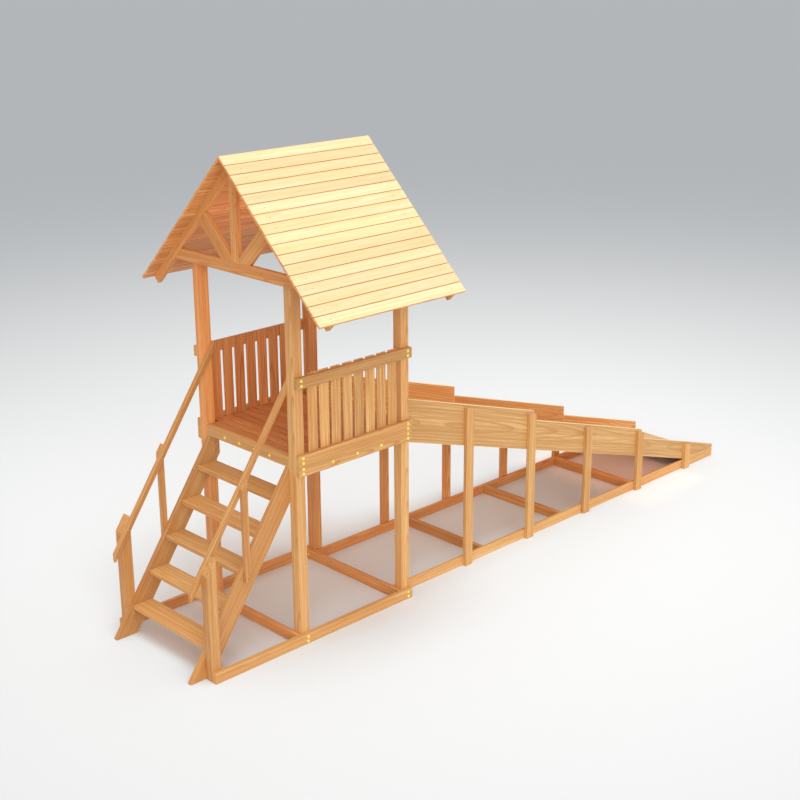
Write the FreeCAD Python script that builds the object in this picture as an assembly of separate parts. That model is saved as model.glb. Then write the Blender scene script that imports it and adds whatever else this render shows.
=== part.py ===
import FreeCAD, Part
import math, os

# Wooden play tower with a stair, a gable roof and a long straight walled slide.
# Millimetres, +Z up, slide runs towards +X.  Origin: centre of the footprint, on the ground.

# ---- driving sizes -------------------------------------------------------------------------
tower = 1250.0            # outside of the square tower, both ways
post = 90.0               # tower post section
frame_t = 40.0            # thickness of rails, beams, rafters
rail_h = 90.0             # height of rails and ground beams
deck_z = 1626.0           # top of the platform
panel_h = 670.0           # side panel above the platform (top of the rail)
post_above_deck = 1446.0  # tower posts above the platform
roof_lift = 262.0         # ridge above the line from post top to post top at the roof pitch
roof_pitch = 45.0         # degrees
roof_board_n = 17         # boards on each slope
roof_board_w = 92.0
roof_board_gap = 2.1
roof_board_t = 20.0
roof_over = 155.0         # roof boards past the tower, front and back
rafter_d = 70.0
brace_w = 120.0
stair_rise_per_run = 1.45
stringer_foot = 206.0     # length of the stringer's foot on the ground
stringer_t = 45.0
tread_n = 5
last_step = 316.0         # from the top tread up to the platform
tread_t = 40.0
tread_d = 190.0
slat_n = 8
slat_w = 97.0
slat_gap = 28.0
slat_t = 14.0
deck_board_n = 13
deck_board_gap = 8.0
deck_board_t = 28.0
slide_end = 4830.0        # end of the slide past the tower
slide_foot = 30.375       # height of the sliding face at its end
slide_drop = 205.4        # underside of the side walls at the tower, below the platform
wall_h1, wall_h2, wall_h3 = 392.0, 298.0, 199.0   # upright heights of the three wall steps
wall_t = 30.0
slide_post_n = 5
slide_post_first = 784.0  # first slide post past the tower
slide_post_last = 574.0   # last slide post before the end of the slide
slide_floor_up = 95.0     # sliding face above the underside of the walls
slide_board_n = 10
slide_board_t = 28.0
cross_last = 1476.0       # from the third cross beam's mark to the end of the slide
bolt_d, hole_d = 10.0, 11.0
washer_d, dome_d = 29.0, 23.0  # washer flange and domed head of the coach screws
screw_d, screw_hole = 5.0, 5.8

# ---- derived sizes -------------------------------------------------------------------------
W = tower
P = W - post
mid = W / 2.0
T = frame_t
beam_h = 95.0
m = stair_rise_per_run
stair_run = (deck_z - beam_h - 1.25) / m
tread_rise = (deck_z - last_step) / tread_n
x_foot = -stair_run
x_end = W + slide_end
newel_x = x_foot + 148.0
rail_top = deck_z + panel_h
ca, sa = math.cos(math.radians(roof_pitch)), math.sin(math.radians(roof_pitch))
post_top = deck_z + post_above_deck
ridge_z = post_top + mid * sa / ca + roof_lift
slide_skirt_z = deck_z - slide_drop
slide_fall = (slide_skirt_z + slide_floor_up - slide_foot) / slide_end
slide_post_pitch = (slide_end - slide_post_first - slide_post_last) / (slide_post_n - 1)
cross_pitch = (x_end - P - cross_last) / 3
board_up = roof_board_t / ca
rafter_up = rafter_d / ca
roof_len = roof_board_n * roof_board_w + (roof_board_n - 1) * roof_board_gap
tie_z0 = post_top - 50.0
tie_z1 = tie_z0 + beam_h
origin_x = (x_foot + x_end) / 2.0
parts = {}
drills = []


def add(node, shape):
    parts.setdefault(node, []).append(shape)


def box(x0, x1, y0, y1, z0, z1):
    return Part.makeBox(x1 - x0, y1 - y0, z1 - z0, FreeCAD.Vector(x0, y0, z0))


def side_prism(pts, y0, y1):
    # outline in X-Z, thickness along Y
    ring = [FreeCAD.Vector(x, y0, z) for x, z in pts]
    return Part.Face(Part.makePolygon(ring + ring[:1])).extrude(FreeCAD.Vector(0, y1 - y0, 0))


def end_prism(pts, x0, x1):
    # outline in Y-Z, thickness along X
    ring = [FreeCAD.Vector(x0, y, z) for y, z in pts]
    return Part.Face(Part.makePolygon(ring + ring[:1])).extrude(FreeCAD.Vector(x1 - x0, 0, 0))


def sides(y0, y1):
    # the near side span and its mirror image on the far side
    return (("near", y0, y1), ("far", W - y1, W - y0))


def coach(node, at, way, length):
    # dome-headed coach screw: washer flange, domed head, plain shank
    p, d = FreeCAD.Vector(*at), FreeCAD.Vector(*way)
    shape = Part.makeCylinder(bolt_d / 2, length, p, d)
    shape = shape.fuse(Part.makeCylinder(washer_d / 2, 2.0, p - d * 2.0, d))
    shape = shape.fuse(Part.makeCone(dome_d / 2, dome_d / 4, 5.0, p - d * 2.0, d * -1))
    add(node, shape)
    drills.append((Part.makeCylinder(hole_d / 2, length + 1.0, p - d * 0.5, d), None))


def screw(node, at, way, length):
    # flush-headed wood screw in a clearance hole with a seat for the head
    p, d = FreeCAD.Vector(*at), FreeCAD.Vector(*way)
    shape = Part.makeCylinder(screw_d / 2, length, p, d).fuse(Part.makeCylinder(5.0, 3.0, p, d))
    add(node, shape)
    hole = Part.makeCylinder(screw_hole / 2, length + 1.0, p - d * 0.5, d)
    seat = Part.makeCylinder(5.4, 3.5, p - d * 0.5, d)
    drills.append((hole.fuse(seat), None))


# ---- tower posts ---------------------------------------------------------------------------
for side, y0, y1 in sides(0, post):
    add("post_" + side + "_stair", box(0, post, y0, y1, 0, post_top))
    add("post_" + side + "_slide", box(P, W, y0, y1, 0, post_top))

# ---- ground frame --------------------------------------------------------------------------
for side, y0, y1 in sides(-T, 0):
    add("tower_ground_rail_" + side, box(newel_x, W, y0, y1, 0, rail_h))
for side, y0, y1 in sides(post, post + wall_t):
    add("slide_ground_rail_" + side, box(P, x_end, y0, y1, 0, rail_h))
add("tower_cross_beams", box(-T, 0, 0, W, 0, rail_h))
add("tower_cross_beams", box(P - T, P, 0, W, 0, rail_h))
slide_in0, slide_in1 = post + wall_t, W - post - wall_t
for i in range(3):
    x = P + cross_pitch * (i + 1) - 2.0
    add("slide_cross_beams", box(x, x + T, slide_in0, slide_in1, 0, rail_h))

# ---- platform ------------------------------------------------------------------------------
low_z = deck_z - 151.0
for side, y0, y1 in sides(-T, 0):
    add("platform_side_rail_" + side, box(0, W, y0, y1, low_z, low_z + rail_h))
    add("panel_bottom_rail_" + side, box(0, W, y0, y1, low_z + rail_h, low_z + 2 * rail_h))
    add("panel_top_rail_" + side, box(0, W, y0, y1, rail_top - rail_h, rail_top))
board_under = deck_z - deck_board_t
for side, y0, y1 in sides(0, 45.0):
    add("platform_ledgers", box(post, P, y0, y1, board_under - 120.0, board_under))
add("platform_front_beam", box(0, T, post, P, deck_z - beam_h, deck_z))
add("platform_back_beam", box(W - T, W, slide_in0, slide_in1, deck_z - 145.0, deck_z))
joist_y = [mid + k * 195.0 for k in (-1.5, -0.5, 0.5, 1.5)]
for y in joist_y:
    add("platform_joists", box(T, W - T, y - T / 2, y + T / 2, board_under - 70.0, board_under))
pitch = (W - 2 * T) / deck_board_n
board_x = [T + pitch * i + deck_board_gap / 2 for i in range(deck_board_n)]
for x in board_x:
    x1 = x + pitch - deck_board_gap
    y0 = post if x < post else (slide_in0 if x1 > P else slat_t)
    add("platform_boards", box(x, x1, y0, W - y0, board_under, deck_z))

# ---- side panels ---------------------------------------------------------------------------
slat_x0 = mid - (slat_n * slat_w + (slat_n - 1) * slat_gap) / 2
slat_x = [slat_x0 + i * (slat_w + slat_gap) for i in range(slat_n)]
for side, y0, y1 in sides(0, slat_t):
    for x in slat_x:
        add("panel_slats_" + side, box(x, x + slat_w, y0, y1, board_under, rail_top + 9.0))

# ---- stair ---------------------------------------------------------------------------------
beam_under = deck_z - beam_h
outline = [(x_foot, 0), (x_foot + stringer_foot, 0),
           (post, (post - x_foot - stringer_foot) * m), (post, beam_under), (0, beam_under),
           (0, -x_foot * m)]
if outline[-1][1] > beam_under - 1.0:
    outline = outline[:4] + [(x_foot + beam_under / m, beam_under)]
for side, y0, y1 in sides(post, post + stringer_t):
    add("stair_stringer_" + side, side_prism(outline, y0, y1))
tread_y0, tread_y1 = post + stringer_t, W - post - stringer_t
tread_at = [(x_foot + tread_rise * i / m, tread_rise * i) for i in range(1, tread_n + 1)]
for x, z in tread_at:
    add("stair_treads", box(x, x + tread_d, tread_y0, tread_y1, z - tread_t, z))

# handrails: the top edge runs parallel to the stringers
hand_z0 = 2220.0 + deck_z - 1626.0
hand_up = 79.0


def hand_top(x):
    return hand_z0 + m * x


hx0, hx1 = x_foot + 50.0, post
for side, y0, y1 in sides(post, post + T):
    add("handrail_" + side, side_prism([(hx0, hand_top(hx0) - hand_up), (hx1, hand_top(hx1) - hand_up),
                                        (hx1, hand_top(hx1)), (hx0, hand_top(hx0))], y0, y1))
for side, y0, y1 in sides(0, post):
    a, b = newel_x, newel_x + post
    add("newel_posts", side_prism([(a, 0), (b, 0), (b, hand_top(b)), (a, hand_top(a))], y0, y1))
bal_x = -0.45 * stair_run
for side, y0, y1 in sides(post - T, post):
    a, b, z = bal_x - 25.0, bal_x + 25.0, (bal_x - x_foot) * m - 140.0
    add("balusters", side_prism([(a, z), (b, z), (b, hand_top(b)), (a, hand_top(a))], y0, y1))

# ---- roof trusses --------------------------------------------------------------------------
top_under = ridge_z - board_up
raf_under = top_under - rafter_up
rise = math.tan(math.radians(roof_pitch))


def both(pts):
    # an outline given as (distance from the centre, height) and its mirror image
    return [[(mid + s * d, z) for d, z in pts] for s in (-1, 1)]


tie_in, tie_out = (raf_under - tie_z1) / rise, (raf_under - tie_z0) / rise
e0 = roof_len * ca
for name, x0, x1 in (("front", -T, 0.0), ("back", W, W + T)):
    add("tie_beam_" + name, end_prism([(mid - tie_out, tie_z0), (mid + tie_out, tie_z0),
                                       (mid + tie_in, tie_z1), (mid - tie_in, tie_z1)], x0, x1))
    add("king_posts", end_prism([(mid - 45, tie_z1), (mid + 45, tie_z1), (mid + 45, raf_under - 45 * rise),
                                 (mid, raf_under), (mid - 45, raf_under - 45 * rise)], x0, x1))
    o = e0 - roof_board_t * sa
    tip = [(0, top_under), (0, raf_under), (o - rafter_d * sa, ridge_z - o * rise - board_up - rafter_d * ca),
           (o, ridge_z - o * rise - board_up)]
    for pts in both(tip):
        add("rafters_" + name, end_prism(pts, x0, x1))
    # braces stand on the tie beam beside the king post and meet the rafters square
    up, lo = 10.0, 10.0 + brace_w / ca
    ku = (raf_under - tie_z1 + up) / 2
    kl = (raf_under - tie_z1 + lo) / 2
    foot = [(45.0, tie_z1), (lo, tie_z1), (kl, raf_under - kl), (ku, raf_under - ku),
            (45.0, tie_z1 + 45.0 - up)]
    for pts in both(foot):
        add("truss_braces_" + name, end_prism(pts, x0, x1))

# ---- roof boards ---------------------------------------------------------------------------
rx0, rx1 = -roof_over, W + roof_over
for i in range(roof_board_n):
    s0 = i * (roof_board_w + roof_board_gap)
    s1 = s0 + roof_board_w
    a, b = s0 * ca, s1 * ca
    za, zb = ridge_z - s0 * sa, ridge_z - s1 * sa
    ux, uz = roof_board_t * sa, roof_board_t * ca
    if i == 0:
        pts = [(0, ridge_z), (b, zb), (b - ux, zb - uz), (0, ridge_z - board_up)]
    else:
        pts = [(a, za), (b, zb), (b - ux, zb - uz), (a - ux, za - uz)]
    near, far = both(pts)
    add("roof_boards_near", end_prism(near, rx0, rx1))
    add("roof_boards_far", end_prism(far, rx0, rx1))

# ---- slide ---------------------------------------------------------------------------------


def skirt(x):
    return slide_skirt_z - slide_fall * (x - W)


def under(x):
    return skirt(x) + slide_floor_up - slide_board_t / math.cos(math.atan(slide_fall))


post_xs = [W + slide_post_first + slide_post_pitch * i for i in range(slide_post_n)]
step1, step2 = post_xs[1] + post + 15.0, post_xs[3] + post + 15.0
x_land = W + (slide_skirt_z - rail_h) / slide_fall
for side, y0, y1 in sides(post, post + wall_t):
    for name, a, b, h in (("upper", P, step1, wall_h1), ("middle", step1, step2, wall_h2)):
        add("slide_wall_" + name + "_" + side,
            side_prism([(a, skirt(a)), (b, skirt(b)), (b, skirt(b) + h), (a, skirt(a) + h)], y0, y1))
    a, b, h = step2, x_end, wall_h3
    add("slide_wall_lower_" + side, side_prism([(a, skirt(a)), (x_land, rail_h), (b, rail_h),
                                                (b, skirt(b) + h), (a, skirt(a) + h)], y0, y1))
for side, y0, y1 in sides(post - T, post):
    for i, x in enumerate(post_xs):
        h = (wall_h1 if i < 2 else wall_h2 if i < 4 else wall_h3) - 25.0
        add("slide_posts_" + side, side_prism([(x, 0), (x + post, 0), (x + post, skirt(x + post) + h),
                                               (x, skirt(x) + h)], y0, y1))
wide = (slide_in1 - slide_in0) / slide_board_n
for i in range(slide_board_n):
    y = slide_in0 + wide * i + 0.5
    up = slide_board_t / math.cos(math.atan(slide_fall))
    add("slide_floor_boards", side_prism([(W, under(W)), (x_end, under(x_end)), (x_end, under(x_end) + up),
                                          (W, under(W) + up)], y, y + wide - 1.0))
hold = [W + 12, post_xs[0] + 10, step1 - 35, post_xs[2] + 10, step2 - 35, post_xs[4] + 10]
bearer_x = hold + [(hold[i] + hold[i + 1]) / 2 for i in range(5)]
for x in bearer_x:
    b = x + 70.0
    add("slide_bearers", side_prism([(x, under(x) - 44), (b, under(b) - 44), (b, under(b)), (x, under(x))],
                                    slide_in0, slide_in1))
x_stop = x_end - 300.0
add("slide_cross_beams", box(x_stop, x_stop + T, slide_in0, slide_in1, 0, under(x_stop + T) - 0.5))

# ---- coach screws --------------------------------------------------------------------------
near_far = (("near", -T, 1.0), ("far", W + T, -1.0))
for side, y, d in near_far:
    for x in (post / 2, W - post / 2):
        for zc in (low_z + rail_h / 2, low_z + 1.5 * rail_h, rail_top - rail_h / 2):
            for dz in (-20.0, 20.0):
                coach("panel_coach_screws", (x, y, zc + dz), (0, d, 0), 110.0)
        for z in (22.0, 62.0):
            coach("ground_coach_screws", (x, y, z), (0, d, 0), 110.0)
    for k in (-1, 0, 1):
        coach("panel_coach_screws", (mid + k * 268.0, y, low_z + rail_h / 2), (0, d, 0), 75.0)
    yc = post / 2 if side == "near" else W - post / 2
    coach("ground_coach_screws", (-T, yc, rail_h / 2), (1, 0, 0), 100.0)
    coach("ground_coach_screws", (P - T, yc, rail_h / 2), (1, 0, 0), 100.0)
    # tie beams are held from the inside of the posts
    for k in (-20.0, 20.0):
        coach("truss_coach_screws", (post, yc + k, post_top - 25.0), (-1, 0, 0), 120.0)
        coach("truss_coach_screws", (P, yc + k, post_top - 25.0), (1, 0, 0), 120.0)
for y in joist_y:
    coach("panel_coach_screws", (0, y, board_under - 30.0), (1, 0, 0), 78.0)
# stair: stringers to the posts and newels, handrails to posts, newels and balusters
for side, d in (("near", 1.0), ("far", -1.0)):
    def at(v):
        return v if d > 0 else W - v
    for z in (beam_under - 130.0, beam_under - 70.0):
        coach("stair_coach_screws", (post / 2, at(post + stringer_t), z), (0, -d, 0), 100.0)
    for z in (110.0, 185.0):
        coach("stair_coach_screws", (newel_x + post / 2, at(post + stringer_t), z), (0, -d, 0), 100.0)
    for x, deep in ((20.0, 90.0), (newel_x + post / 2, 90.0), (bal_x, 70.0)):
        coach("stair_coach_screws", (x, at(post + T), hand_top(x) - hand_up / 2), (0, -d, 0), deep)
    coach("stair_coach_screws", (bal_x, at(post - T), (bal_x - x_foot) * m - 95.0), (0, d, 0), 80.0)
    for z in (1700.0, 1790.0):
        coach("slide_coach_screws", (W - post / 2, at(post + wall_t), z), (0, -d, 0), 85.0)

# ---- wood screws ---------------------------------------------------------------------------
for side, d in (("near", 1.0), ("far", -1.0)):
    def at(v):
        return v if d > 0 else W - v
    for x, z in tread_at:
        for k in (70.0, 140.0):
            screw("stair_screws", (x + k, at(post), z - tread_t / 2), (0, d, 0), 95.0)
    for x in slat_x:
        for z in (low_z + 1.6 * rail_h, rail_top - rail_h / 2):
            screw("panel_screws", (x + slat_w / 2, at(slat_t), z), (0, -d, 0), slat_t + T - 9.0)
    for i, x in enumerate(post_xs):
        screw("slide_screws", (x + post / 2, at(post + wall_t), rail_h / 2), (0, -d, 0), 60.0)
        for k in (150.0, 60.0 if i == 4 else 250.0):
            k = k if i < 4 else k / 2 + 60.0
            screw("slide_screws", (x + post / 2, at(post + wall_t), skirt(x + post / 2) + k + 20.0),
                  (0, -d, 0), 60.0)
    for x in bearer_x:
        xb = x + 35.0
        screw("slide_screws", (xb, at(post), under(xb) - 22.0), (0, d, 0), 80.0)
    for z in (25.0, 55.0):
        screw("stair_screws", (newel_x + post / 2, at(-T), z), (0, d, 0), 95.0)
for x in board_x:
    for y in (joist_y[0], joist_y[3]):
        screw("platform_screws", (x + (pitch - deck_board_gap) / 2, y, deck_z), (0, 0, -1), 70.0)
for i in range(roof_board_n):
    s = i * (roof_board_w + roof_board_gap) + roof_board_w * (0.5 if i else 0.75)
    for g in (-1, 1):
        for x in (-T / 2, W + T / 2):
            screw("roof_screws", (x, mid + g * s * ca, ridge_z - s * sa), (0, -g * sa, -ca), 50.0)
sl = 1.0 / math.sqrt(1.0 + slide_fall ** 2)
for x in bearer_x:
    xb = x + 35.0
    for i in range(slide_board_n):
        y = slide_in0 + wide * (i + 0.5)
        z = under(xb) + slide_board_t / sl
        screw("slide_floor_screws", (xb, y, z), (-slide_fall * sl, 0, -sl), 55.0)

# ---- drill the holes and write the files ---------------------------------------------------
fasteners = [n for n in parts if n.endswith("screws")]
tools = [t for t, _ in drills]
boxes = [t.BoundBox for t in tools]
for node, shapes in parts.items():
    if node in fasteners:
        continue
    for k, shape in enumerate(shapes):
        bb = shape.BoundBox
        hit = [t for t, tb in zip(tools, boxes) if bb.intersect(tb)]
        if hit:
            shapes[k] = shape.cut(Part.makeCompound(hit)) if len(hit) > 1 else shape.cut(hit[0])

os.makedirs("parts", exist_ok=True)
for node in sorted(parts):
    out = []
    for shape in parts[node]:
        for solid in shape.Solids:
            solid = solid.copy()
            solid.translate(FreeCAD.Vector(-origin_x, -mid, 0))
            out.append(solid)
    whole = out[0] if len(out) == 1 else Part.makeCompound(out)
    whole.exportStep("parts/" + node + ".step")
    print(node, len(out), round(whole.Volume / 1e6, 3))
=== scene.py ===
import math
import random

import bmesh
import bpy
from mathutils import Matrix, Vector


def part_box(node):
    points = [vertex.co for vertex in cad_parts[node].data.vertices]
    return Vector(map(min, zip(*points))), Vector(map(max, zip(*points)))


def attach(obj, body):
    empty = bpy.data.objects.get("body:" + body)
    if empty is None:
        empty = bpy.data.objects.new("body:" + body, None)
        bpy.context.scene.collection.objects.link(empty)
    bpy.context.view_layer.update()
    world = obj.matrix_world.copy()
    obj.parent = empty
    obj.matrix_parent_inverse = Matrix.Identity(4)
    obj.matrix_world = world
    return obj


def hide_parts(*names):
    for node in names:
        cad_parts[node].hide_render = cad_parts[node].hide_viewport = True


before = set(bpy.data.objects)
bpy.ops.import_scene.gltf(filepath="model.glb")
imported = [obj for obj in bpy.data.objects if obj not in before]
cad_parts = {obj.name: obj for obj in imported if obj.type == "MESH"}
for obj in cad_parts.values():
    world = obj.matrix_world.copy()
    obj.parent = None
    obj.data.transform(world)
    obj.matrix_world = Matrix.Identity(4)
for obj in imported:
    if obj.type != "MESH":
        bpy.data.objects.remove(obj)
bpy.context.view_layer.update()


# ---- Tower posts ----
# Four square posts of planed pine, 90 mm, from the ground to the roof. Their edges are eased
# with a plane, and each stands on its sawn end.
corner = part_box("post_near_stair")[0]
tower, post = 1.25, 0.09
post_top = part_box("post_near_stair")[1].z
draw = random.Random(41)


def shaft(outline, flat, start, end):
    # A few corners drawn in one plane, pushed out square to it: the rough timber.
    bm = bmesh.new()
    lift = {"x": lambda p, h: (h, p[0], p[1]), "y": lambda p, h: (p[0], h, p[1]),
            "z": lambda p, h: (p[0], p[1], h)}[flat]
    ring = [bm.verts.new(corner + Vector(lift(p, start))) for p in outline]
    pushed = bmesh.ops.extrude_face_region(bm, geom=[bm.faces.new(ring)])["geom"]
    step = Vector(lift((0, 0), end - start))
    bmesh.ops.translate(bm, verts=[v for v in pushed if isinstance(v, bmesh.types.BMVert)], vec=step)
    bmesh.ops.recalc_face_normals(bm, faces=bm.faces)
    return bm


def planed(bm, along, wide, ease=0.003, heart=(0.02, 0.07), aside=0.12, lit_top=2.0):
    # Eases the edges and marks where the timber was cut from the log. "log" is the place in
    # the log, in metres, with its heart along the first axis. "edge" is 1 on eased edges, and
    # on faces that look up more steeply than the given limit, so that a finish can paint a
    # highlight on them as if light fell from above.
    log = bm.verts.layers.float_vector.new("log")
    tone = bm.verts.layers.float.new("tone")
    edge = bm.faces.layers.float.new("edge")
    eased = bmesh.ops.bevel(bm, geom=bm.edges[:], offset=ease, offset_type="OFFSET", segments=2,
                            profile=0.5, affect="EDGES", clamp_overlap=True, material=-1)
    for face in eased["faces"] + [f for f in bm.faces if f.normal.z > lit_top]:
        face[edge] = 1.0
    along = Vector(along).normalized()
    wide = Vector(wide).normalized()
    across = wide.cross(along)
    middle = sum((v.co for v in bm.verts), Vector()) / len(bm.verts)
    place = Vector((draw.uniform(0, 40), draw.uniform(-aside, aside),
                    draw.uniform(*heart) * draw.choice((-1, 1))))
    shade = draw.gauss(0, 0.4)
    for v in bm.verts:
        p = v.co - middle
        v[log] = Vector((p.dot(along), p.dot(across), p.dot(wide))) + place
        v[tone] = shade
    return bm


def piece(name, timbers, finish, node):
    # One object for each piece or set of like pieces, riding on the one rigid body.
    mesh = bpy.data.meshes.new(name)
    whole = bmesh.new()
    for bm in timbers:
        bm.to_mesh(mesh)
        bm.free()
        whole.from_mesh(mesh)
    whole.to_mesh(mesh)
    whole.free()
    mesh.materials.append(finish)
    obj = bpy.data.objects.new(name, mesh)
    bpy.context.scene.collection.objects.link(obj)
    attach(obj, "root")
    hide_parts(node)
    return obj


def box(x0, x1, y0, y1, z0, z1):
    return shaft([(x0, z0), (x1, z0), (x1, z1), (x0, z1)], "y", y0, y1)


def link(tree, kind, inputs=(), **settings):
    # Adds a node, sets what it is given, and joins or fills its inputs.
    node = tree.nodes.new(kind)
    for key, value in settings.items():
        setattr(node, key, value)
    for key, value in dict(inputs).items():
        if isinstance(value, bpy.types.NodeSocket):
            tree.links.new(value, node.inputs[key])
        else:
            node.inputs[key].default_value = value
    return node


def maths(tree, operation, *values, clamp=False):
    node = link(tree, "ShaderNodeMath", dict(enumerate(values)), operation=operation, use_clamp=clamp)
    return node.outputs[0]


def fade(tree, value, low, high, to=(0.0, 1.0)):
    node = link(tree, "ShaderNodeMapRange", {"Value": value, "From Min": low, "From Max": high,
                                             "To Min": to[0], "To Max": to[1]},
                interpolation_type="SMOOTHSTEP")
    return node.outputs[0]


def blend(tree, share, a, b, mode="MIX"):
    node = link(tree, "ShaderNodeMix", {0: share, 6: a, 7: b}, data_type="RGBA", blend_type=mode)
    return node.outputs[2]


def pine_grain():
    # Growth rings round the heart of the log, bent by knots, with fine fibres along it.
    group = bpy.data.node_groups.new("pine grain", "ShaderNodeTree")
    for name, kind, value in (("Log", "NodeSocketVector", None), ("Ring width", "NodeSocketFloat", 0.014),
                              ("Wander", "NodeSocketFloat", 0.02), ("Knots", "NodeSocketFloat", 0.5)):
        socket = group.interface.new_socket(name, in_out="INPUT", socket_type=kind)
        if value is not None:
            socket.default_value = value
    for name in ("Rings", "Fibre", "Knot", "Cloud", "Height"):
        group.interface.new_socket(name, in_out="OUTPUT", socket_type="NodeSocketFloat")
    start = group.nodes.new("NodeGroupInput").outputs
    end = group.nodes.new("NodeGroupOutput").inputs

    def scaled(x, y, z):
        return link(group, "ShaderNodeVectorMath", {0: start["Log"], 1: (x, y, z)},
                    operation="MULTIPLY").outputs[0]

    def noise(scale, detail, rough=0.5):
        return link(group, "ShaderNodeTexNoise", {"Vector": scaled(*scale), "Scale": 1.0, "Detail": detail,
                                                  "Roughness": rough}, normalize=True).outputs["Fac"]

    cell = link(group, "ShaderNodeTexVoronoi", {"Vector": scaled(1.7, 6.0, 2.2), "Scale": 1.0,
                                                "Randomness": 0.9}, feature="F1")
    chosen = maths(group, "LESS_THAN",
                   link(group, "ShaderNodeSeparateColor", {0: cell.outputs["Color"]}).outputs[0],
                   start["Knots"])
    far = maths(group, "ADD", cell.outputs["Distance"], maths(group, "MULTIPLY",
                                                              noise((40, 60, 60), 2.0), 0.03))
    knot = maths(group, "MULTIPLY", chosen, fade(group, far, 0.085, 0.055))
    swirl = maths(group, "MULTIPLY", chosen, fade(group, far, 0.42, 0.03))

    parts = link(group, "ShaderNodeSeparateXYZ", {0: start["Log"]}).outputs
    radius = maths(group, "SQRT", maths(group, "ADD", maths(group, "MULTIPLY", parts[1], parts[1]),
                                        maths(group, "MULTIPLY", parts[2], parts[2])))
    bend = maths(group, "MULTIPLY", maths(group, "SUBTRACT", noise((0.8, 1.6, 1.6), 1.0), 0.5),
                 start["Wander"])
    ripple = maths(group, "MULTIPLY", maths(group, "SUBTRACT", noise((3.5, 14, 14), 1.0), 0.5), 0.004)
    taper = maths(group, "MULTIPLY", parts[0], 0.022)
    bent = maths(group, "ADD", maths(group, "ADD", radius, bend), maths(group, "ADD", ripple, taper))
    bent = maths(group, "ADD", bent, maths(group, "MULTIPLY", swirl, 0.02))
    turn = maths(group, "FRACT", maths(group, "DIVIDE", bent, start["Ring width"]))
    late = maths(group, "MULTIPLY", fade(group, turn, 0.55, 0.92), fade(group, turn, 1.0, 0.94))
    faint = fade(group, noise((0.5, 12, 12), 1.0), 0.3, 0.65, to=(0.5, 1.0))
    fibre = noise((9, 420, 420), 3.0, 0.6)
    streak = noise((0.9, 60, 60), 3.0, 0.65)
    fine = maths(group, "ADD", maths(group, "MULTIPLY", fibre, 0.35), maths(group, "MULTIPLY", streak, 0.65))
    rings = maths(group, "MULTIPLY", late, faint)
    for name, value in (("Rings", rings), ("Fibre", fine), ("Knot", knot),
                        ("Cloud", noise((0.35, 7.0, 7.0), 1.0)),
                        ("Height", maths(group, "ADD", maths(group, "MULTIPLY", rings, 0.5), fibre))):
        group.links.new(value, end[name])
    return group


def worn_edge():
    # Handling lightens and smooths eased edges, in uneven patches.
    group = bpy.data.node_groups.new("worn edge", "ShaderNodeTree")
    for name, kind in (("Log", "NodeSocketVector"), ("Edge", "NodeSocketFloat")):
        group.interface.new_socket(name, in_out="INPUT", socket_type=kind)
    group.interface.new_socket("Wear", in_out="OUTPUT", socket_type="NodeSocketFloat")
    start = group.nodes.new("NodeGroupInput").outputs
    patch = link(group, "ShaderNodeTexNoise", {"Vector": start["Log"], "Scale": 11.0, "Detail": 3.0})
    wear = maths(group, "MULTIPLY", start["Edge"], fade(group, patch.outputs["Fac"], 0.38, 0.62))
    group.links.new(wear, group.nodes.new("NodeGroupOutput").inputs["Wear"])
    return group


grain_group, edge_group = pine_grain(), worn_edge()


def oiled_pine(name, pale, warm, dark, ring=0.009, wander=0.03, knots=0.3, rough=0.5, contrast=0.95,
               edge_light_and_shade=None):
    # Early wood is pale, late wood is warm, knots are dark, and each timber has its own tone.
    finish = bpy.data.materials.new(name)
    finish.use_nodes = True
    tree = finish.node_tree
    shader = tree.nodes["Principled BSDF"]
    log, tone, edge = (link(tree, "ShaderNodeAttribute", attribute_name=kind).outputs
                       for kind in ("log", "tone", "edge"))
    grain = link(tree, "ShaderNodeGroup", node_tree=grain_group)
    tree.links.new(log["Vector"], grain.inputs["Log"])
    for key, value in (("Ring width", ring), ("Wander", wander), ("Knots", knots)):
        grain.inputs[key].default_value = value
    wear = link(tree, "ShaderNodeGroup", node_tree=edge_group)
    tree.links.new(log["Vector"], wear.inputs["Log"])
    tree.links.new(edge["Fac"], wear.inputs["Edge"])
    g = grain.outputs
    lines = maths(tree, "MULTIPLY", g["Rings"], contrast)
    colour = blend(tree, lines, (*pale, 1), (*warm, 1))
    fibres = fade(tree, g["Fibre"], 0.35, 0.62, to=(0.0, 0.8))
    colour = blend(tree, fibres, colour, (*warm, 1))
    cloud = fade(tree, g["Cloud"], 0.35, 0.7, to=(0.0, 0.35))
    colour = blend(tree, cloud, colour, (*warm, 1))
    colour = blend(tree, maths(tree, "MULTIPLY", g["Knot"], 0.85), colour, (*dark, 1))
    # Where a finish is given an edge colour, eased edges and marked top faces are painted with it in place of
    # wear: a pale painted highlight on the slide walls, and painted shade in the joints between the roof
    # boards.
    if edge_light_and_shade:
        colour = blend(tree, maths(tree, "MULTIPLY", edge["Fac"], 0.8), colour, (*edge_light_and_shade, 1))
    else:
        colour = blend(tree, maths(tree, "MULTIPLY", wear.outputs[0], 0.25), colour, (*pale, 1))
    bright = maths(tree, "ADD", maths(tree, "MULTIPLY", tone["Fac"], 0.15), 1.0)
    hue = link(tree, "ShaderNodeHueSaturation", {"Value": bright, "Color": colour})
    tree.links.new(hue.outputs[0], shader.inputs["Base Color"])
    gloss = maths(tree, "ADD", maths(tree, "MULTIPLY", g["Fibre"], 0.25), rough - 0.12)
    gloss = maths(tree, "SUBTRACT", gloss, maths(tree, "MULTIPLY", wear.outputs[0], 0.08))
    tree.links.new(gloss, shader.inputs["Roughness"])
    bump = link(tree, "ShaderNodeBump", {"Height": g["Height"], "Strength": 0.25, "Distance": 0.0012})
    tree.links.new(bump.outputs[0], shader.inputs["Normal"])
    shader.inputs["Specular IOR Level"].default_value = 0.35
    return finish
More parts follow.
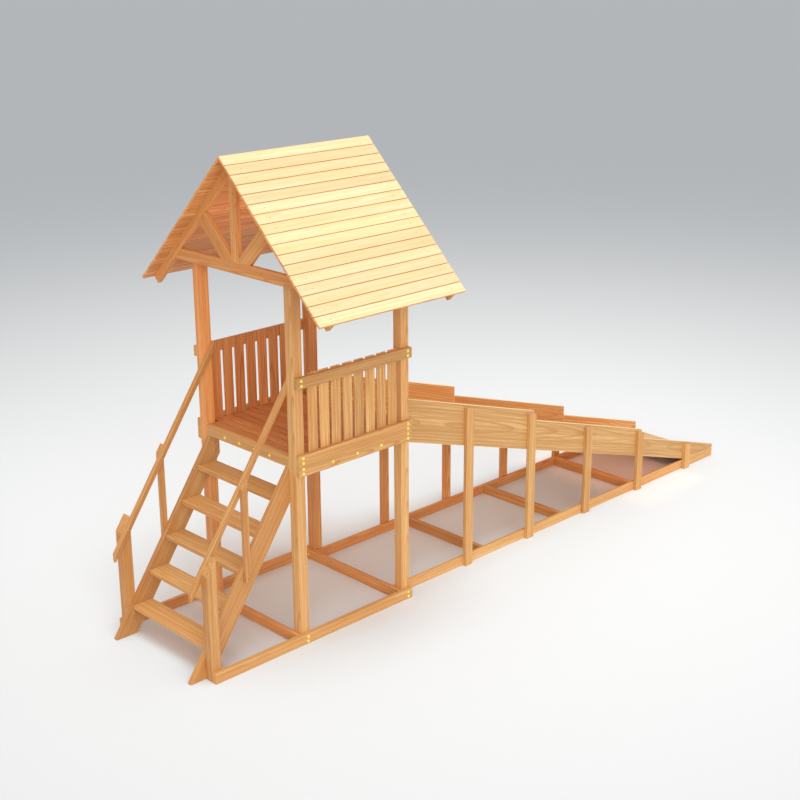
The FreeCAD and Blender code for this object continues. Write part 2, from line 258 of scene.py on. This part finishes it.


# Timbers on the far side get a redder copy of their finish than those on the near side, and so do their
# knots: the redder copy is painted shade, and the paler near copy is painted light.
knot, red_knot, big_knot = (0.15, 0.05, 0.015), (0.14, 0.05, 0.015), (0.16, 0.06, 0.015)
post_pine = {"near": oiled_pine("post_timber", (0.84, 0.54, 0.225), (0.60, 0.25, 0.07), knot),
             "far": oiled_pine("post_timber_painted_shade", (0.76, 0.39, 0.14), (0.54, 0.18, 0.043), red_knot)}
for side, y in (("near", 0.0), ("far", tower - post)):
    for end, x in (("stair", 0.0), ("slide", tower - post)):
        name = "post_%s_%s" % (side, end)
        shape = planed(box(x, x + post, y, y + post, 0, post_top), (0, 0, 1), (0, 1, 0))
        piece(name.capitalize(), [shape], post_pine[side], name)


# ---- Ground frame ----
# Flat 40 mm rails and cross beams that lie on the ground and tie the posts together. The
# slide's two long rails run on inside the tower's, and are butted by four cross beams.
rail_t, rail_h, wall_t = 0.04, 0.09, 0.03
newel, slide_end = -0.907, 6.08
first_beam, beam_pitch = 2.306, 1.148
inner = post + wall_t
# The near copy of the ground frame finish is painted as lit. The redder far copy is painted shade, and it
# also colours the cross beams inside the frame.
ground_pine = {"near": oiled_pine("ground_frame_timber", (0.75, 0.47, 0.19), (0.52, 0.22, 0.06), knot),
               "far": oiled_pine("frame_timber_painted_shade", (0.77, 0.39, 0.135), (0.54, 0.175, 0.042), red_knot)}


def pair(y0, y1):
    # the same width of timber on the near side and on the far side
    return (("near", y0, y1), ("far", tower - y1, tower - y0))


for side, y0, y1 in pair(-rail_t, 0.0):
    shape = planed(box(newel, tower, y0, y1, 0, rail_h), (1, 0, 0), (0, 1, 0))
    piece("Tower_ground_rail_" + side, [shape], ground_pine[side],
          "tower_ground_rail_" + side)
for side, y0, y1 in pair(post, inner):
    shape = planed(box(tower - post, slide_end, y0, y1, 0, rail_h), (1, 0, 0), (0, 1, 0))
    piece("Slide_ground_rail_" + side, [shape], ground_pine[side],
          "slide_ground_rail_" + side)
beams = [planed(box(x, x + rail_t, 0, tower, 0, rail_h), (0, 1, 0), (1, 0, 0))
         for x in (-rail_t, tower - post - rail_t)]
piece("Tower_cross_beams", beams, ground_pine["far"], "tower_cross_beams")
beams = [planed(box(x, x + rail_t, inner, tower - inner, 0, rail_h), (0, 1, 0), (1, 0, 0))
         for x in (first_beam + beam_pitch * i for i in range(3))]
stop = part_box("slide_cross_beams")[1].x - corner.x
slide_fall, skirt_top, floor_up, floor_t = 0.3075, 1.4206, 0.095, 0.028
floor_rise = floor_t * math.hypot(1, slide_fall)
joint = 0.0005


def skirt(x):
    # height of the lower edge of the slide's side walls
    return skirt_top - slide_fall * (x - tower)


def floor_under(x):
    # height of the underside of the slide's floor boards
    return skirt(x) + floor_up - floor_rise


# The last beam, under the foot of the slide, is planed down to let the boards pass over it.
beams.append(planed(box(stop - rail_t, stop, inner, tower - inner, 0, floor_under(stop) - joint),
                    (0, 1, 0), (1, 0, 0)))
piece("Slide_cross_beams", beams, ground_pine["far"], "slide_cross_beams")


# ---- Platform ----
# Side rails and ledgers on the posts carry four joists between a front and a back beam, and
# thirteen planed boards with open joints are screwed down across them.
deck, deck_t = 1.626, 0.028
front_beam_h, back_beam_h, ledger_t, ledger_h = 0.095, 0.145, 0.045, 0.12
joist_t, joist_h, joist_pitch = 0.04, 0.07, 0.195
slat_t, boards, gap = 0.014, 13, 0.008
low_rail, under = deck - 0.151, deck - deck_t
deck_pine = oiled_pine("platform_timber", (0.70, 0.35, 0.115), (0.50, 0.15, 0.04), red_knot)
rail_pine = oiled_pine("side_rail_timber", (0.70, 0.43, 0.16), (0.50, 0.21, 0.06), red_knot)
for side, y0, y1 in pair(-rail_t, 0.0):
    shape = planed(box(0, tower, y0, y1, low_rail, low_rail + rail_h), (1, 0, 0), (0, 1, 0))
    piece("Platform_side_rail_" + side, [shape], rail_pine, "platform_side_rail_" + side)
ledgers = [planed(box(post, tower - post, y0, y1, under - ledger_h, under), (1, 0, 0), (0, 1, 0))
           for side, y0, y1 in pair(0.0, ledger_t)]
piece("Platform_ledgers", ledgers, deck_pine, "platform_ledgers")
shape = planed(box(0, rail_t, post, tower - post, deck - front_beam_h, deck), (0, 1, 0), (1, 0, 0))
piece("Platform_front_beam", [shape], rail_pine, "platform_front_beam")
shape = planed(box(tower - rail_t, tower, inner, tower - inner, deck - back_beam_h, deck),
               (0, 1, 0), (1, 0, 0))
piece("Platform_back_beam", [shape], deck_pine, "platform_back_beam")
joists = [planed(box(rail_t, tower - rail_t, y - joist_t / 2, y + joist_t / 2, under - joist_h, under),
                 (1, 0, 0), (0, 1, 0))
          for y in (tower / 2 + k * joist_pitch for k in (-1.5, -0.5, 0.5, 1.5))]
piece("Platform_joists", joists, deck_pine, "platform_joists")
pitch = (tower - 2 * rail_t) / boards
laid = []
for i in range(boards):
    x0 = rail_t + pitch * i + gap / 2
    x1 = x0 + pitch - gap
    y0 = post if x0 < post else inner if x1 > tower - post else slat_t
    laid.append(planed(box(x0, x1, y0, tower - y0, under, deck), (0, 1, 0), (0, 0, 1)))
piece("Platform_boards", laid, deck_pine, "platform_boards")


# ---- Side panels ----
# Eight upright slats on each side, screwed to the inner faces of a bottom and a top rail,
# with a finger's width between them. The slats stand a little above the top rail.
rail_top, slat_top = deck + 0.67, deck + 0.679
slats, slat_w, slat_gap = 8, 0.097, 0.028
# The near slats' finish is painted as lit. The far slats' redder finish is painted shade, since their inner
# faces lie in the shade of the cabin.
slat_pine = {"near": oiled_pine("slat_timber", (0.80, 0.52, 0.21), (0.50, 0.20, 0.05), big_knot, ring=0.016),
             "far": oiled_pine("slat_timber_painted_shade", (0.74, 0.36, 0.125), (0.46, 0.125, 0.032), red_knot,
                               ring=0.016)}
first = tower / 2 - (slats * slat_w + (slats - 1) * slat_gap) / 2
for side, y0, y1 in pair(-rail_t, 0.0):
    for name, z in (("bottom", low_rail + rail_h), ("top", rail_top - rail_h)):
        node = "panel_%s_rail_%s" % (name, side)
        shape = planed(box(0, tower, y0, y1, z, z + rail_h), (1, 0, 0), (0, 1, 0))
        piece(node.capitalize(), [shape], rail_pine, node)
for side, y0, y1 in pair(0.0, slat_t):
    row = [planed(box(x, x + slat_w, y0, y1, under, slat_top), (0, 0, 1), (0, 1, 0))
           for x in (first + i * (slat_w + slat_gap) for i in range(slats))]
    piece("Panel_slats_" + side, row, slat_pine[side], "panel_slats_" + side)


# ---- Stair ----
# Two 45 mm stringers stand on sawn feet and meet the front beam. Five treads sit between
# them. Handrails run on the newel posts, balusters and tower posts, parallel to the stringers.
steep, foot, run, stringer_t = 1.45, 0.206, -1.055, 0.045
rise, tread_t, tread_d = 0.262, 0.04, 0.19
baluster, baluster_w, baluster_lap = -0.47475, 0.05, 0.14
hand_up, hand_end, hand_at_tower = 0.079, 0.05, 2.22
beam_under = deck - front_beam_h
tread_pine = oiled_pine("tread_timber", (0.72, 0.43, 0.165), (0.50, 0.20, 0.052), knot, wander=0.02)
stair_pine = oiled_pine("stair_timber", (0.63, 0.36, 0.135), (0.43, 0.165, 0.042), red_knot, wander=0.02)
outline = [(run, 0), (run + foot, 0), (post, (post - run - foot) * steep), (post, beam_under),
           (0, beam_under), (0, -run * steep)]
slope = (1, 0, steep)
for side, y0, y1 in pair(post, post + stringer_t):
    shape = planed(shaft(outline, "y", y0, y1), slope, (0, 1, 0))
    piece("Stair_stringer_" + side, [shape], stair_pine, "stair_stringer_" + side)
treads = [planed(box(run + z / steep, run + z / steep + tread_d, post + stringer_t,
                     tower - post - stringer_t, z - tread_t, z), (0, 1, 0), (0, 0, 1), ease=0.005)
          for z in (rise * (i + 1) for i in range(5))]
piece("Stair_treads", treads, tread_pine, "stair_treads")


def hand_top(x):
    # height of the top of the handrails
    return hand_at_tower + steep * x


for side, y0, y1 in pair(post, post + rail_t):
    x0, x1 = run + hand_end, post
    outline = [(x0, hand_top(x0) - hand_up), (x1, hand_top(x1) - hand_up), (x1, hand_top(x1)),
               (x0, hand_top(x0))]
    shape = planed(shaft(outline, "y", y0, y1), slope, (0, 1, 0), ease=0.005)
    piece("Handrail_" + side, [shape], stair_pine, "handrail_" + side)
for name, x0, x1, z0, ends in (
        ("newel_posts", newel, newel + post, 0.0, pair(0.0, post)),
        ("balusters", baluster - baluster_w / 2, baluster + baluster_w / 2,
         (baluster - run) * steep - baluster_lap, pair(post - rail_t, post))):
    outline = [(x0, z0), (x1, z0), (x1, hand_top(x1)), (x0, hand_top(x0))]
    uprights = [planed(shaft(outline, "y", y0, y1), (0, 0, 1), (0, 1, 0)) for side, y0, y1 in ends]
    piece(name.capitalize(), uprights, stair_pine, name)


# ---- Roof trusses ----
# A triangle at each end of the tower: tie beam, king post, two braces and two rafters, all of
# 40 mm timber in one plane, sawn to fit and screwed to the outer faces of the posts.
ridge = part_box("roof_boards_near")[1].z
half = math.sqrt(0.5)
boards, board_w, board_gap, board_t = 17, 0.092, 0.0021, 0.02
rafter_d, brace_w, king_w, brace_off = 0.07, 0.12, 0.09, 0.01
tie_low, tie_high = post_top - 0.05, post_top + 0.045
rafter_top = ridge - board_t / half
rafter_low = rafter_top - rafter_d / half
eave = (boards * board_w + (boards - 1) * board_gap) * half
tail = eave - board_t * half
truss_pine = oiled_pine("truss_timber", (0.73, 0.40, 0.14), (0.53, 0.185, 0.045), red_knot)
centre = tower / 2


def mirrored(points):
    # an outline given as distance from the centre line and height, and its mirror image
    return [(s, [(centre + s * d, z) for d, z in points]) for s in (-1, 1)]


for end, x0 in (("front", -rail_t), ("back", tower)):
    x1 = x0 + rail_t
    low, high = rafter_low - tie_low, rafter_low - tie_high
    outline = [(centre - low, tie_low), (centre + low, tie_low), (centre + high, tie_high),
               (centre - high, tie_high)]
    shape = planed(shaft(outline, "x", x0, x1), (0, 1, 0), (1, 0, 0))
    piece("Tie_beam_" + end, [shape], truss_pine, "tie_beam_" + end)
    rafter = [(0, rafter_top), (0, rafter_low), (tail - rafter_d * half, rafter_top - tail - rafter_d * half),
              (tail, rafter_top - tail)]
    both = [planed(shaft(line, "x", x0, x1), (0, s, -1), (1, 0, 0)) for s, line in mirrored(rafter)]
    piece("Rafters_" + end, both, truss_pine, "rafters_" + end)
    upper, lower = brace_off, brace_off + brace_w / half
    high_at, low_at = (high + upper) / 2, (high + lower) / 2
    brace = [(king_w / 2, tie_high), (lower, tie_high), (low_at, rafter_low - low_at),
             (high_at, rafter_low - high_at), (king_w / 2, tie_high + king_w / 2 - upper)]
    both = [planed(shaft(line, "x", x0, x1), (0, s, 1), (1, 0, 0)) for s, line in mirrored(brace)]
    piece("Truss_braces_" + end, both, truss_pine, "truss_braces_" + end)
k0, k1 = centre - king_w / 2, centre + king_w / 2
outline = [(k0, tie_high), (k1, tie_high), (k1, rafter_low - king_w / 2), (centre, rafter_low),
           (k0, rafter_low - king_w / 2)]
kings = [planed(shaft(outline, "x", x0, x0 + rail_t), (0, 0, 1), (1, 0, 0)) for x0 in (-rail_t, tower)]
piece("King_posts", kings, truss_pine, "king_posts")


# ---- Roof boards ----
# Seventeen planed boards on each slope, laid edge to edge from the ridge to the eaves
# and screwed to the rafters. They run past the tower at both ends, and none is quite alike.
# Faces that look up are painted pale as if in full sun, a painted light, and the other faces
# a deeper orange, a painted shade.
roof_over, looks_up = 0.155, 0.3
# The roof boards' dark edge colour is painted shade in the joints between the boards.
sunlit_roof_pine = oiled_pine("roof_board_timber", (0.87, 0.665, 0.43), (0.79, 0.51, 0.22), (0.38, 0.18, 0.06),
                       ring=0.012, knots=0.25, contrast=0.6, edge_light_and_shade=(0.32, 0.22, 0.09))
shade_pine = oiled_pine("roof_board_painted_shade", (0.92, 0.52, 0.19), (0.58, 0.18, 0.045), (0.16, 0.05, 0.015),
                        ring=0.016, knots=0.25, contrast=1.0)
for side, s in (("near", -1), ("far", 1)):
    row = []
    for i in range(boards):
        a, b = (d * half for d in (i * (board_w + board_gap), i * (board_w + board_gap) + board_w))
        in_ = board_t * half
        points = [(a, ridge - a), (b, ridge - b), (b - in_, ridge - b - in_), (a - in_, ridge - a - in_)]
        if i == 0:
            points[3] = (0, ridge - board_t / half)
        outline = [(centre + s * d, z) for d, z in points]
        row.append(planed(shaft(outline, "x", -roof_over, tower + roof_over), (1, 0, 0), (0, s, 1)))
    slope_boards = piece("Roof_boards_" + side, row, sunlit_roof_pine, "roof_boards_" + side)
    slope_boards.data.materials.append(shade_pine)
    # Faces that look up take the pale painted-sunlight finish, and the others the orange painted-shade
    # finish.
    for face in slope_boards.data.polygons:
        face.material_index = int(face.normal.z < looks_up)


# ---- Slide ----
# Side walls in three lengths, stepping down in height, screwed to the inner faces of five
# posts a side. Ten narrow boards side by side make the sliding face, on eleven bearers.
wall_grain = {"ring": 0.022, "wander": 0.12, "knots": 0.12}
# The near wall's finish is painted as lit, and the far wall's redder finish is painted shade. On both, the
# pale edge colour paints a highlight on the eased edges and on the top faces, as if light fell on them from
# above.
wall_pine = {"near": oiled_pine("slide_wall_timber", (0.73, 0.455, 0.19), (0.48, 0.23, 0.068),
                                (0.16, 0.06, 0.02), contrast=0.85, edge_light_and_shade=(0.90, 0.72, 0.42),
                                **wall_grain),
             "far": oiled_pine("slide_wall_timber_painted_shade", (0.84, 0.48, 0.18), (0.58, 0.21, 0.055), red_knot,
                               edge_light_and_shade=(0.90, 0.66, 0.36), **wall_grain)}
floor_pine = oiled_pine("slide_floor_timber", (0.74, 0.45, 0.175), (0.53, 0.23, 0.065), knot)
post_start, post_pitch, past_post, below_top = 0.784, 0.868, 0.015, 0.025
post_x = [tower + post_start + post_pitch * i for i in range(5)]
cut1, cut2 = post_x[1] + post + past_post, post_x[3] + post + past_post
landing = tower + (skirt_top - rail_h) / slide_fall
heights = {"upper": 0.392, "middle": 0.298, "lower": 0.199}
down = (1, 0, -slide_fall)
for side, y0, y1 in pair(post, inner):
    for name, a, b in (("upper", tower - post, cut1), ("middle", cut1, cut2), ("lower", cut2, slide_end)):
        h = heights[name]
        outline = [(a, skirt(a)), (b, skirt(b)), (b, skirt(b) + h), (a, skirt(a) + h)]
        if name == "lower":
            outline[1:2] = [(landing, rail_h), (b, rail_h)]
        shape = planed(shaft(outline, "y", y0, y1), down, (0, 1, 0), heart=(0.05, 0.09), aside=0.05,
                       lit_top=0.9)
        node = "slide_wall_%s_%s" % (name, side)
        piece(node.capitalize(), [shape], wall_pine[side], node)
for side, y0, y1 in pair(post - rail_t, post):
    row = []
    for i, x in enumerate(post_x):
        h = heights["upper" if i < 2 else "middle" if i < 4 else "lower"] - below_top
        outline = [(x, 0), (x + post, 0), (x + post, skirt(x + post) + h), (x, skirt(x) + h)]
        row.append(planed(shaft(outline, "y", y0, y1), (0, 0, 1), (0, 1, 0)))
    piece("Slide_posts_" + side, row, ground_pine[side], "slide_posts_" + side)
floor_boards = 10
wide = (tower - 2 * inner) / floor_boards
row = []
for i in range(floor_boards):
    y = inner + wide * i + joint
    outline = [(tower, floor_under(tower)), (slide_end, floor_under(slide_end)),
               (slide_end, floor_under(slide_end) + floor_rise), (tower, floor_under(tower) + floor_rise)]
    row.append(planed(shaft(outline, "y", y, y + wide - 2 * joint), down, (slide_fall, 0, 1)))
piece("Slide_floor_boards", row, floor_pine, "slide_floor_boards")
# One bearer by each post and each joint in the walls, and one between each two of those.
bearer_w, bearer_h, on_post, past_tower = 0.07, 0.044, 0.01, 0.012
held = [tower + past_tower, post_x[0] + on_post, cut1 - bearer_w / 2, post_x[2] + on_post,
        cut2 - bearer_w / 2, post_x[4] + on_post]
held += [(held[i] + held[i + 1]) / 2 for i in range(5)]
row = []
for x in held:
    b = x + bearer_w
    outline = [(x, floor_under(x) - bearer_h), (b, floor_under(b) - bearer_h), (b, floor_under(b)),
               (x, floor_under(x))]
    row.append(planed(shaft(outline, "y", inner, tower - inner), (0, 1, 0), (0, 0, 1)))
piece("Slide_bearers", row, floor_pine, "slide_bearers")


# ---- Coach screws and wood screws ----
# Yellow zinc-plated steel, and brown on the stair's coach screws. Coach screws have a washer
# and a low dome. Wood screws have a flat star-recessed head, a little proud of the timber.
# Each head sits where the frame's screw sits.
def zinc(name, tint, deep):
    finish = bpy.data.materials.new(name)
    finish.use_nodes = True
    tree = finish.node_tree
    shader = tree.nodes["Principled BSDF"]
    place = link(tree, "ShaderNodeTexCoord").outputs["Object"]
    stain = link(tree, "ShaderNodeTexNoise", {"Vector": place, "Scale": 130.0, "Detail": 4.0}).outputs["Fac"]
    scuff = link(tree, "ShaderNodeTexNoise", {"Vector": place, "Scale": 900.0, "Detail": 2.0}).outputs["Fac"]
    colour = blend(tree, fade(tree, stain, 0.35, 0.7), (*tint, 1), (*deep, 1))
    tree.links.new(colour, shader.inputs["Base Color"])
    tree.links.new(fade(tree, scuff, 0.3, 0.7, to=(0.28, 0.45)), shader.inputs["Roughness"])
    bump = link(tree, "ShaderNodeBump", {"Height": scuff, "Strength": 0.15, "Distance": 0.0003})
    tree.links.new(bump.outputs[0], shader.inputs["Normal"])
    shader.inputs["Metallic"].default_value = 0.35
    return finish


def seats(node):
    # where each screw of a node starts at its head, and which way it is driven
    bm = bmesh.new()
    bm.from_mesh(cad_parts[node].data)
    bmesh.ops.remove_doubles(bm, verts=bm.verts, dist=1e-6)
    found, seen = [], set()
    for start in bm.verts:
        if start in seen:
            continue
        seen.add(start)
        group = [start]
        for v in group:
            fresh = {e.other_vert(v) for e in v.link_edges} - seen
            seen |= fresh
            group += sorted(fresh, key=lambda w: w.index)
        points = [v.co for v in group]
        mid = sum(points, Vector()) / len(points)
        tip = max(points, key=lambda p: (p - mid).length)
        rough_way = (tip - mid).normalized()
        reach = [p.dot(rough_way) for p in points]
        ends = []
        for level in (min(reach), max(reach)):
            ring = [p for p, r in zip(points, reach) if abs(r - level) < 0.0012]
            ends.append(sum(ring, Vector()) / len(ring))
        found.append((ends[0], (ends[1] - ends[0]).normalized()))
    bm.free()
    return found


def dome():
    # washer and dome turned from one profile, given as radius and depth in millimetres; its
    # top is at zero and the screw points up Z
    bm = bmesh.new()
    profile = [(0, 7.0), (14.5, 7.0), (14.5, 5.6), (13.8, 5.0), (11.4, 5.0), (10.6, 2.6), (8.0, 0.8),
               (4.3, 0.1), (0, 0)]
    line = [bm.verts.new((r / 1000, 0, z / 1000)) for r, z in profile]
    for a, b in zip(line, line[1:]):
        bm.edges.new((a, b))
    bmesh.ops.spin(bm, geom=bm.verts[:] + bm.edges[:], axis=(0, 0, 1), cent=(0, 0, 0), steps=20,
                   angle=2 * math.pi, use_merge=True)
    bmesh.ops.remove_doubles(bm, verts=bm.verts, dist=1e-5)
    return bm


def flat_head():
    # a low flat head with a star recess, a little proud of the timber
    bm = bmesh.new()
    bmesh.ops.create_circle(bm, cap_ends=True, segments=12, radius=0.0045)
    side = bmesh.ops.extrude_face_region(bm, geom=bm.faces[:])["geom"]
    bmesh.ops.translate(bm, verts=[v for v in side if isinstance(v, bmesh.types.BMVert)],
                        vec=(0, 0, -0.0016))
    bm.faces.ensure_lookup_table()
    top = min((f for f in bm.faces if len(f.verts) == 12), key=lambda f: f.calc_center_median().z)
    bmesh.ops.inset_region(bm, faces=[top], thickness=0.0008, depth=0.0)
    bmesh.ops.translate(bm, verts=top.verts, vec=(0, 0, -0.0003))
    bmesh.ops.inset_region(bm, faces=[top], thickness=0.0016, depth=0.0)
    for v in list(top.verts)[::2]:
        v.co.xy *= 0.55
    recess = bmesh.ops.extrude_face_region(bm, geom=[top])["geom"]
    bmesh.ops.delete(bm, geom=[top], context="FACES_ONLY")
    bmesh.ops.translate(bm, verts=[v for v in recess if isinstance(v, bmesh.types.BMVert)],
                        vec=(0, 0, 0.0012))
    bmesh.ops.translate(bm, verts=bm.verts, vec=(0, 0, 0.0004))
    return bm


coach_zinc = zinc("coach_screw_zinc", (0.92, 0.80, 0.18), (0.78, 0.62, 0.10))
wood_zinc = zinc("wood_screw_zinc", (0.62, 0.46, 0.16), (0.40, 0.28, 0.09))
brown_zinc = zinc("brown_screw_zinc", (0.52, 0.28, 0.10), (0.40, 0.18, 0.05))
for node in sorted(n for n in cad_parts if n.endswith("screws")):
    coach = node.endswith("coach_screws")
    heads = []
    for at, way in seats(node):
        head = dome() if coach else flat_head()
        turn = way.to_track_quat("Z", "Y").to_matrix().to_4x4() @ Matrix.Rotation(draw.uniform(0, 1), 4, "Z")
        bmesh.ops.transform(head, matrix=Matrix.Translation(at) @ turn, verts=head.verts)
        bmesh.ops.recalc_face_normals(head, faces=head.faces)
        for f in head.faces:
            f.smooth = coach
        heads.append(head)
    finish = brown_zinc if node == "stair_coach_screws" else coach_zinc if coach else wood_zinc
    piece(node.capitalize(), heads, finish, node)


# ---- Ground and backdrop ----
# A wide floor of seamless paper, painted white round the tower and greyer far away: a
# painted pool of light round the tower. It lies a millimetre under the timber, and its
# tone depends only on the distance from the middle.
floor_size, floor_gap, fade_reach, fade_curve = 400.0, 0.001, 9.8, 1.9
sheet = bmesh.new()
bmesh.ops.create_grid(sheet, x_segments=8, y_segments=8, size=floor_size)
mesh = bpy.data.meshes.new("Floor")
sheet.to_mesh(mesh)
sheet.free()
paper = bpy.data.materials.new("floor_painted_light_pool")
paper.use_nodes = True
tree = paper.node_tree
place = link(tree, "ShaderNodeTexCoord").outputs["Object"]
away = link(tree, "ShaderNodeVectorMath", {0: place}, operation="LENGTH").outputs["Value"]
spent = maths(tree, "POWER", maths(tree, "DIVIDE", away, fade_reach), fade_curve)
near = maths(tree, "EXPONENT", maths(tree, "MULTIPLY", spent, -1.0))
# painted light: white near the middle, fading to grey far out
colour = blend(tree, near, (0.325, 0.336, 0.351, 1), (0.772, 0.772, 0.767, 1))
tree.links.new(colour, tree.nodes["Principled BSDF"].inputs["Base Color"])
tree.nodes["Principled BSDF"].inputs["Roughness"].default_value = 0.9
tree.nodes["Principled BSDF"].inputs["Specular IOR Level"].default_value = 0.1
mesh.materials.append(paper)
floor = bpy.data.objects.new("Floor", mesh)
bpy.context.scene.collection.objects.link(floor)
floor.location = (0, 0, -floor_gap)


# ---- Light and camera ----
# A wide soft lamp almost overhead, a warm sky that greys towards the horizon, and a low fill.
# Two weak warm lamps stand in for light that the timber throws under the slide and the roof.
def lamp(name, kind, facing, power, tint):
    # a lamp whose light comes from the direction that it faces
    light = bpy.data.lights.new(name, kind)
    light.energy, light.color = power, tint
    obj = bpy.data.objects.new(name, light)
    obj.rotation_euler = Vector(facing).to_track_quat("Z", "Y").to_euler()
    bpy.context.scene.collection.objects.link(obj)
    return obj


horizon_tint, sky_tint, sky_strength = (0.50, 0.52, 0.545, 1), (1.0, 0.84, 0.75, 1), 0.85
world = bpy.data.worlds.new("studio")
world.use_nodes = True
sky = world.node_tree
direction = link(sky, "ShaderNodeTexCoord").outputs["Generated"]
up = link(sky, "ShaderNodeSeparateXYZ", {0: direction}).outputs[2]
colour = blend(sky, fade(sky, up, 0.06, 0.24), horizon_tint, sky_tint)
sky.links.new(colour, sky.nodes["Background"].inputs[0])
sky.nodes["Background"].inputs[1].default_value = sky_strength
bpy.context.scene.world = world
for name, facing, power, width, tint in (("overhead", (-0.05, -0.12, 0.99), 1.4, 30, (0.80, 1.11, 1.27)),
                                         ("fill", (-0.50, -0.80, 0.26), 1.8, 50, (1.0, 1.04, 1.05))):
    lamp(name, "SUN", facing, power, tint).data.angle = math.radians(width)
middle, under_boards = 5.02, 0.05
for name, place, facing, size, spread, power, tint in (
        ("bounce_slide", (middle, tower / 2, floor_under(middle) - under_boards), (slide_fall, 0, 1),
         (1.75, 1.0), 60, 1.6, (1.0, 0.44, 0.24)),
        ("bounce_roof", (tower / 2, tower / 2, tie_high), (0, 0, -1),
         (1.1, 1.1), 180, 2.5, (1.0, 0.55, 0.22))):
    glow = lamp(name, "AREA", facing, power, tint)
    glow.data.shape, (glow.data.size, glow.data.size_y) = "RECTANGLE", size
    glow.data.spread = math.radians(spread)
    glow.location = corner + Vector(place)
    glow.visible_camera = False
bpy.context.scene.view_settings.view_transform = "Standard"

yaw, pitch, roll = math.radians(45.746), math.radians(18.653), math.radians(0.268)
lens = bpy.data.cameras.new("view")
lens.sensor_width, lens.lens = 36, 63.13
camera = bpy.data.objects.new("view", lens)
turn = (Matrix.Rotation(yaw - math.pi / 2, 3, "Z") @ Matrix.Rotation(math.pi / 2 - pitch, 3, "X")
        @ Matrix.Rotation(-roll, 3, "Z"))
camera.rotation_euler = turn.to_euler()
camera.location = (-9.1286, -8.5945, 5.6012)
bpy.context.scene.collection.objects.link(camera)
bpy.context.scene.camera = camera
